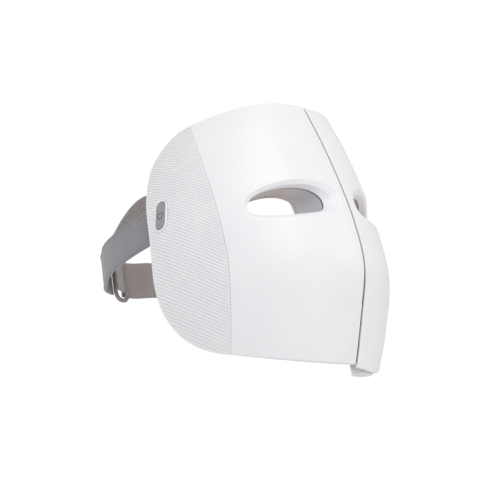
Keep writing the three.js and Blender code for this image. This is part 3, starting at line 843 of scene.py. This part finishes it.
# ---- buttons and bezels
# (outward from the button's outline, height over the skin)
BEZEL_SECTION = ((0.35, -2.2), (0.35, 0.15), (0.42, 0.42), (0.62, 0.56), (0.95, 0.6), (1.35, 0.5),
                 (1.65, 0.28), (1.8, 0.0), (1.8, -2.2))
CAP_SECTION = ((1.2, -3.9), (1.2, -3.1), (0, -3.0), (0, 0.2), (-0.12, 0.45), (-0.4, 0.6), (-0.9, 0.66),
               (-2.0, 0.7), (-3.2, 0.7), (-4.2, 0.7))
MARK = {"radius": 2.4, "wire": 0.4, "height": 0.62, "gap": 0.62}  # gap in radians, each side of the bar
BAR_RADIUS, BAR_STATIONS = 0.24, (0.6, 1.2, 2.0, 2.9)
AROUND = turns(8)


def mark_ring(start, stop, steps, whole):
    """Rings of points along the round mark, or an arc of it."""
    rings = []
    for t in np.linspace(start, stop, steps, endpoint=not whole):
        r = MARK["radius"] + MARK["wire"] * np.cos(AROUND)
        high = MARK["height"] + MARK["wire"] * np.sin(AROUND)
        rings.append(np.stack([r * math.cos(t), r * math.sin(t), high], -1))
    return rings


def mark_bar():
    x, z = BAR_RADIUS * np.cos(AROUND), MARK["height"] + BAR_RADIUS * np.sin(AROUND)
    return [np.stack([x, np.full(len(x), y), z], -1) for y in BAR_STATIONS]


for side, name, body, node in ((-1, "right", "power_button", "right_power_button"),
                               (1, "left", "mode_button", "left_mode_button")):
    flip = np.array([-side, 1, 1])

    def shaped(local):
        return on_skin(local) * flip

    rings = [shaped(pill_ring(*section)) for section in BEZEL_SECTION]
    build(name + "_bezel_ring", *loft(rings, closed=True), "bezel", "mask", "shell_white",
          name + "_button_bezel")
    rings = [shaped(pill_ring(*section)) for section in CAP_SECTION]
    build(node + "_cap", *loft(rings), "button", body, "button_grey", node)
    if side < 0:
        arc = mark_ring(math.pi / 2 + MARK["gap"], 2.5 * math.pi - MARK["gap"], 36, False)
        ring_points, ring_faces = loft([shaped(r) for r in arc])
        bar_points, bar_faces = loft([shaped(r) for r in mark_bar()])
        points = np.concatenate([ring_points, bar_points])
        faces = ring_faces + [tuple(i + len(ring_points) for i in f) for f in bar_faces]
    else:
        points, faces = loft([shaped(r) for r in mark_ring(0.0, 2 * math.pi, 40, True)], closed=True)
    build(node + "_mark", points, faces, "mark", body, "button_grey")

# ---- eye sleeves, gaskets
# (layer, outward) round each section
SLEEVE = ((0.392, 1.7), (0.39, 0.6), (0.392, 0.2), (0.4, 0.0), (0.44, 0.0), (0.50, 0.0), (0.58, 0.0),
          (0.66, 0.0), (0.74, 0.0), (0.781, 0.0), (0.784, 0.06), (0.784, 2.0), (0.6, 2.1))
GASKET = ((0.366, 1.9), (0.365, 0.5), (0.368, 0.3), (0.375, 0.25), (0.382, 0.3), (0.386, 0.5), (0.386, 1.9))
EYE_PIECES = (("sleeve_liner", SLEEVE, "taupe", "silicone_taupe", "eye_sleeve"),
              ("gasket_ring", GASKET, "dark", "dark_trim", "eye_gasket"))
for side, name in ((-1, "right"), (1, "left")):
    for piece, section, look, slot, node in EYE_PIECES:
        rings = [eye_ring(layer, grow) * (side, 1, 1) for layer, grow in section]
        build(name + "_" + piece, *loft(rings, closed=True), look, "mask", slot, name + "_" + node)

# ---- inner liner with its light windows
LINER = (0.79, 1.0)  # its outer and inner layers
LINER_ROUND = 4.2
LINER_RIM = ((1.0, 2.6), (0.985, 1.3), (0.955, 0.4), (0.92, 0.0), (0.87, 0), (LINER[0], 0))
LINER_GRID, LINER_BACK_GRID, OUTLINE_STEP = 2.6, 6.0, 2.2
OUTLINE_REACH, CENTRE_CLEAR = 130, 0.02


def place_inner(flat, depth):
    return face_point(flat[:, 0] / FLAT, flat[:, 1], LINER[1] - depth / FRONT_BUILD)


def side_on(layer, inset):
    """The side outline as far as that layer reaches forward."""
    side = side_outline(inset, OUTLINE_REACH)
    reach = depth_at(side[:, 1]) - FRONT_BUILD * layer
    return side[side[:, 0] < reach - CENTRE_CLEAR]


def outline_flat(layer, inset):
    """The whole outline on one layer, both halves, as a loop in the flat domain."""
    side = side_on(layer, inset)
    half = flat_of(angle_at_b(side[:, 0], side[:, 1], layer), side[:, 1])
    half = np.concatenate([[(0, half[0, 1])], half, [(0, half[-1, 1])]])
    half = resample(half, OUTLINE_STEP)
    other = half[1:-1][::-1] * (-1, 1)
    return np.concatenate([half, other])


liner_sheet = Sheet(place_inner, (LINER[1] - LINER[0]) * FRONT_BUILD, LINER_ROUND)
liner_sheet.edge(outline_flat(LINER[1], LINER_ROUND))
for side in (1, -1):
    rows = [eye_ring(layer, grow) * (side, 1, 1) for layer, grow in LINER_RIM]
    front, back = (eye_flat(*LINER_RIM[end]) * (side, 1) for end in (0, -1))
    liner_sheet.hole(front, back, rows)
liner_points, liner_faces = liner_sheet.mesh(grid_spots(liner_sheet.fronts, LINER_GRID), LINER_BACK_GRID)
build("inner_lining", liner_points, liner_faces, "liner", "mask", "silicone_taupe", "inner_liner")

WINDOW_PITCH, WINDOW_RADIUS, WINDOW_RISE, WINDOW_CLEAR = 15.5, 2.3, 0.55, 6.5
WINDOW_SECTION = ((1.0, -0.3), (1.0, 0.15), (0.86, 0.6), (0.55, 0.9), (0.2, 1.0))  # (radius, rise)
BROW_ZONE, NOSE_ZONE = (52, 70, 11), (18, -14, 14)  # half width, z, half height in the flat domain


def in_zone(flat, zone):
    return (np.abs(flat[:, 0]) < zone[0]) & (np.abs(flat[:, 1] - zone[1]) < zone[2])


spots = grid_spots(liner_sheet.fronts, WINDOW_PITCH)
spots = spots[distance_to(spots, liner_sheet.fronts) > WINDOW_CLEAR]
spots = spots[~(in_zone(spots, BROW_ZONE) | in_zone(spots, NOSE_ZONE))]
turn = turns(14)
window_points, window_faces = [], []
for spot in spots:
    rings = []
    for radius, rise in WINDOW_SECTION:
        disc = spot + WINDOW_RADIUS * radius * np.stack([np.cos(turn), np.sin(turn)], -1)
        rings.append(place_inner(disc, np.full(len(turn), -WINDOW_RISE * rise)))
    p, f = loft(rings)
    base = sum(len(w) for w in window_points)
    window_points.append(p)
    window_faces += [tuple(i + base for i in face) for face in f]
build("light_windows", np.concatenate(window_points), window_faces, "window", "mask", "silicone_taupe")

# ---- edge frame between cover and liner
FRAME = (0.17, 0.76)  # its outer and inner layers
FRAME_INSET = (0.6, 5.0)  # its edge and its inside, in from the outline
FRAME_ROUND = (0.03, 0.6)  # corner radius across the layers and along the skin
FRAME_STATIONS = 220
SLOT_HALF, SLOT_Z, SLOT_REAR = 19.0, 24.3, -60


def frame_curve(layer, inset):
    """3-D curve from the top centre to the bottom centre on one layer, on the +X side."""
    side = side_on(layer, inset)
    curve = face_point(angle_at_b(side[:, 0], side[:, 1], layer), side[:, 1], layer)
    ends = [face_point(0, side[0, 1], layer), face_point(0, side[-1, 1], layer)]
    return np.concatenate([ends[:1], curve, ends[1:]])


def cut(curve, upper):
    """The part of a half curve above or below the strap slot, with its end on the slot's edge."""
    z_cut = SLOT_Z + SLOT_HALF if upper else SLOT_Z - SLOT_HALF
    rear = curve[:, 1] > SLOT_REAR
    over = curve[:, 2] - z_cut
    i = next(i for i in range(len(curve) - 1) if rear[i] and over[i] * over[i + 1] <= 0)
    t = (curve[i, 2] - z_cut) / (curve[i, 2] - curve[i + 1, 2])
    point = curve[i] + (curve[i + 1] - curve[i]) * t
    return np.concatenate([curve[:i + 1], [point]]) if upper else np.concatenate([[point], curve[i + 1:]])


def frame_section():
    """(layer, inset) round the frame's section, corners rounded."""
    r_layer, r_inset = FRAME_ROUND
    made = []
    for outer, rim, first in ((1, 1, 0), (0, 1, 90), (0, 0, 180), (1, 0, 270)):
        layer = FRAME[outer] - (r_layer if outer else -r_layer)
        inset = FRAME_INSET[rim] - (r_inset if rim else -r_inset)
        for a in np.radians([first, first + 30, first + 60, first + 90]):
            made.append((layer + r_layer * math.cos(a), inset + r_inset * math.sin(a)))
    return made


for upper in (True, False):
    lines = []
    for layer, inset in frame_section():
        half = cut(frame_curve(layer, inset), upper)
        other = mirrored(half)[::-1]
        line = np.concatenate([other, half[1:]] if upper else [half, other[1:]])
        lines.append(resample(line, count=FRAME_STATIONS - 1))
    rings = [np.array([line[k] for line in lines]) for k in range(FRAME_STATIONS)]
    name = "upper" if upper else "lower"
    build(name + "_edge_frame", *loft(rings), "frame", "mask", "frame_white", name + "_frame")

# ---- forehead and nose pads
PAD = (1.03, 1.18)  # layers of its back and its crown
PAD_CORNER, PAD_CROWN, PAD_SIDE = 0.45, 0.9, 0.38  # powers: smaller is squarer


def cushion(name, node, half_x, mid_z, half_z):
    """A crowned rounded pad on the inside of the liner."""
    rings = []
    around = turns(56)
    mid = (PAD[0] + PAD[1]) / 2
    half = (PAD[1] - PAD[0]) / 2
    square_x, square_z = (np.sign(v) * np.abs(v) ** PAD_CORNER for v in (np.cos(around), np.sin(around)))
    for phi in np.radians(np.linspace(-90, 90, 17)):
        spread = max(math.cos(phi), 0.02) ** PAD_SIDE
        rise = math.copysign(abs(math.sin(phi)) ** PAD_CROWN, phi)
        x = half_x * spread * square_x
        z = mid_z + half_z * spread * square_z
        layer = mid + half * rise
        rings.append(face_point(angle_at_x(x, z, layer), z, layer))
    build(name, *loft(rings), "pad", "mask", "pad_silicone", node)


cushion("forehead_cushion", "forehead_pad", 37.5, 70, 7.8)
cushion("nose_cushion", "nose_pad", 7.8, -14, 10.8)

# ---- charging socket under the chin
SOCKET = {"x": 15.0, "y": -85.6, "top": -96.7, "half_x": 9.6, "half_y": 4.5}
# (outward, down from its top) from the outside round the rim into the mouth
SOCKET_SECTION = ((0, 0), (0, -8.9), (-0.2, -9.2), (-0.5, -9.3), (-0.85, -9.2), (-1.0, -8.9), (-1.3, -6.4),
                  (-2.0, -5.4))
rings = []
turn = turns(64)
for grow, down in SOCKET_SECTION:
    x = SOCKET["x"] + (SOCKET["half_x"] + grow) * np.cos(turn)
    y = SOCKET["y"] + (SOCKET["half_y"] + grow) * np.sin(turn)
    rings.append(np.stack([x, y, np.full(len(turn), SOCKET["top"] + down)], -1))
build("charging_socket_rim", *loft(rings), "shell", "mask", "frame_white", "charging_socket")

# ---- head strap
STRAP = {"half": 78.6, "back": 131.0, "start": 6.0, "z": 24.3, "height": 26.0, "thick": 2.2, "lift": 9.5,
         "widen": 6.0}
RING = {"turn": 78.0, "width": 20.0, "height": 46.0, "wire": 3.6, "z": 34.0, "corner": 7.0, "slim": 0.97}
BAND = {"span_top": 32.0, "span_low": 18.0, "rise_top": 46.5, "rise_low": 24.0, "base": 50.0, "lean": 0.8,
        "reach": 1.12, "inside": -3.1}


def strap_point(turn, z, out, forward=0.0):
    """turn in degrees: 0 at the wearer's right, 90 at the back, 180 at the left."""
    t = math.radians(turn)
    c, s = math.cos(t), math.sin(t)
    n = Vector((-c / STRAP["half"], s / STRAP["back"])).normalized()
    x, y = -STRAP["half"] * c + out * n.x, STRAP["start"] + STRAP["back"] * s + out * n.y - forward
    return np.array([x, y, z])


SECTION_STEPS = 26
FLAT_PART = 0.955
ROUND_EDGE = [(0.985, 0.75), (1.0, 0.25), (1.0, -0.25), (0.985, -0.75)]
SELVAGE = {"at": 0.9, "width": 0.05, "rise": 0.12}
THIN_END, END_STATIONS = 0.7, 1.5


def web_section():
    """(across -1..1, thickness -1..1) round a flat band, outer face first, edges rounded."""
    flat_part = np.linspace(-FLAT_PART, FLAT_PART, SECTION_STEPS)
    outer = [(v, 1.0) for v in flat_part]
    inner = [(v, -1.0) for v in flat_part[::-1]]
    return outer + ROUND_EDGE + inner + [(-v, -t) for v, t in ROUND_EDGE]


WEB = web_section()


def web_band(name, place, steps, length_mm, height_mm, body, node, ripple=0.05):
    """A band of webbing. place(u, v, out) has u 0..1 along, v -1..1 across and out in millimetres."""
    rng = random.Random(name)
    waves = [(rng.uniform(2, 7), rng.uniform(0, 6.28), rng.uniform(0.4, 1.0)) for _ in range(4)]
    rings, uvs = [], []
    for k in range(steps + 1):
        u = k / steps
        sway = sum(a * math.sin(w * math.pi * u + p) for w, p, a in waves) * ripple
        ends = min(1.0, min(k, steps - k) / END_STATIONS)
        thick = STRAP["thick"] / 2 * (THIN_END + (1 - THIN_END) * ends)
        ring = []
        for v, t in WEB:
            selvage = SELVAGE["rise"] * math.exp(-((abs(v) - SELVAGE["at"]) / SELVAGE["width"]) ** 2) * t
            ring.append(place(u, v, t * thick + selvage + sway * (1 - v * v)))
            uvs.append((u * length_mm * MM, v * height_mm / 2 * MM))
        rings.append(np.array(ring))
    points, faces = loft(rings)
    count = len(WEB)
    first = SECTION_STEPS + len(ROUND_EDGE) - 1
    lining = [i for i in range(len(faces) - 2) if first <= i % count <= first + SECTION_STEPS]
    build(name, points, faces, "strap", body, "strap_fabric", node, [("lining", lining)], uvs, weighted=False)


def lower_place(start, stop, out_at):
    """The place function of a lower band between two turns. out_at(turn) is how far it stands out."""
    def place(u, v, out):
        turn = start + (stop - start) * u
        swell = math.sin(math.radians(turn)) ** 2
        height = STRAP["height"] + STRAP["widen"] * swell
        z = STRAP["z"] + STRAP["lift"] * swell + v * height / 2
        return strap_point(turn, z, out_at(turn) + out)
    return place


def ease(value, low, high):
    t = min(1.0, max(0.0, (value - low) / (high - low)))
    return t * t * (3 - 2 * t)


FOLD_OUTER, FOLD_INNER = 4.4, -6.3  # how far the bands stand out at the ring, and the folded end in


def right_out(turn):
    return FOLD_OUTER * ease(turn, 50, 66)


def left_out(turn):
    return FOLD_OUTER * ease(-turn, -102, -90)


def upper_place(u, v, out):
    s = BAND["reach"] * (2 * u - 1)
    w = (v + 1) / 2
    turn = 90 + s * (BAND["span_low"] + (BAND["span_top"] - BAND["span_low"]) * w)
    z = BAND["base"] + (1 - s * s) * (BAND["rise_low"] + (BAND["rise_top"] - BAND["rise_low"]) * w)
    forward = BAND["lean"] * max(z - BAND["base"], 0)
    return strap_point(turn, z, BAND["inside"] + out, forward)


RIGHT_END, LEFT_END, FOLD_END = RING["turn"] - 4.5, RING["turn"] + 4.5, RING["turn"] - 16
RIGHT_LENGTH, LEFT_LENGTH, UPPER_LENGTH, FOLD_LENGTH = 128, 172, 150, 22
right_place, left_place = lower_place(0, RIGHT_END, right_out), lower_place(LEFT_END, 180, left_out)
fold_place = lower_place(FOLD_END, RIGHT_END, lambda turn: FOLD_INNER)
web_band("right_strap_web", right_place, 90, RIGHT_LENGTH, 29, "head_strap", "right_strap")
web_band("left_strap_web", left_place, 120, LEFT_LENGTH, 29, "head_strap", "left_strap")
web_band("upper_band_web", upper_place, 90, UPPER_LENGTH, 26, "head_strap", "upper_band", 0.03)
web_band("strap_end_web", fold_place, 16, FOLD_LENGTH, 31, "strap_end", "strap_end", 0.0)

STITCH = {"length": 2.3, "pitch": 3.3, "radius": 0.24, "edge": 0.86, "lift": 0.1, "band": 14}
STITCH_SHAPE = ((-1, 0.35, -0.5), (-0.7, 0.9, 0.1), (0, 1.0, 0.55), (0.7, 0.9, 0.1), (1, 0.35, -0.5))


def stitches(name, place, length_mm, first=0.02, last=0.98):
    """Two rows of thread stitches lying on a band, each a small bent capsule."""
    points, faces, total = [], [], 0
    count = int(length_mm * (last - first) / STITCH["pitch"])
    half = STITCH["length"] / length_mm / 2
    surface = STRAP["thick"] / 2
    for edge in (-1, 1):
        for k in range(count):
            mid = first + (last - first) * (k + 0.5) / count
            rings = []
            for along, size, rise in STITCH_SHAPE:
                u = mid + along * half
                r = STITCH["radius"] * size
                ring = []
                for a in turns(6):
                    v = edge * STITCH["edge"] + r * math.cos(a) / STITCH["band"]
                    ring.append(place(u, v, surface + r * 0.5 * rise + r * math.sin(a) + STITCH["lift"]))
                rings.append(np.array(ring))
            p, f = loft(rings)
            points.append(p)
            faces += [tuple(i + total for i in face) for face in f]
            total += len(p)
    build(name, np.concatenate(points), faces, "thread", "head_strap", "strap_fabric", weighted=False)


stitches("right_strap_stitching", right_place, RIGHT_LENGTH)
stitches("left_strap_stitching", left_place, LEFT_LENGTH)
stitches("upper_band_stitching", upper_place, UPPER_LENGTH, first=0.06, last=0.94)

# ---- buckle ring
centre = strap_point(RING["turn"], RING["z"], 0)
outward = strap_point(RING["turn"], RING["z"], 1) - centre
up = np.array([0.0, 0.0, 1.0])
across = np.cross(up, outward)
r = RING["corner"]
w, h = (RING["width"] - RING["wire"]) / 2 - r, (RING["height"] - RING["wire"]) / 2 - r
wire = RING["wire"] / 2 * RING["slim"]
path_points = []
for cx, cy, start in ((w, h, 0), (-w, h, 90), (-w, -h, 180), (w, -h, 270)):
    for a in np.radians(np.linspace(start, start + 90, 12)):
        path_points.append((cx + r * math.cos(a), cy + r * math.sin(a)))
path_points = resample(np.array(path_points), 1.4, closed=True)
rings = []
for k, p in enumerate(path_points):
    ahead = unit(path_points[(k + 1) % len(path_points)] - path_points[k - 1])
    side_dir = np.array([ahead[1], -ahead[0]])
    ring = []
    for a in turns(16):
        q = p + side_dir * math.cos(a) * wire
        ring.append(centre + across * q[0] + up * q[1] + outward * math.sin(a) * wire)
    rings.append(np.array(ring))
build("buckle_ring_frame", *loft(rings, closed=True), "buckle", "buckle_ring", "buckle_grey", "buckle_ring")

# ---- CAD nodes that stay
LOOKS = {"led_board": "board", "control_board": "board", "driver_board": "board", "motor": "steel",
         "battery": "foil", "screw": "steel", "switch": "dark", "anchor": "frame", "tongue": "buckle"}
for name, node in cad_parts.items():
    for part, look in LOOKS.items():
        if part in name:
            node.data.materials.clear()
            node.data.materials.append(M[look])
            if part in ("anchor", "screw", "tongue"):
                modifier = node.modifiers.new("edges", "BEVEL")
                modifier.width = 0.0003
                modifier.segments = 2

# ---- floor
FLOOR_SIZE, FLOOR_Z = 80, -0.29
bpy.ops.mesh.primitive_plane_add(size=FLOOR_SIZE, location=(0, 0, FLOOR_Z))
floor = bpy.context.object
floor.name = "floor"
floor.data.materials.append(floor_material())

bpy.context.view_layer.update()
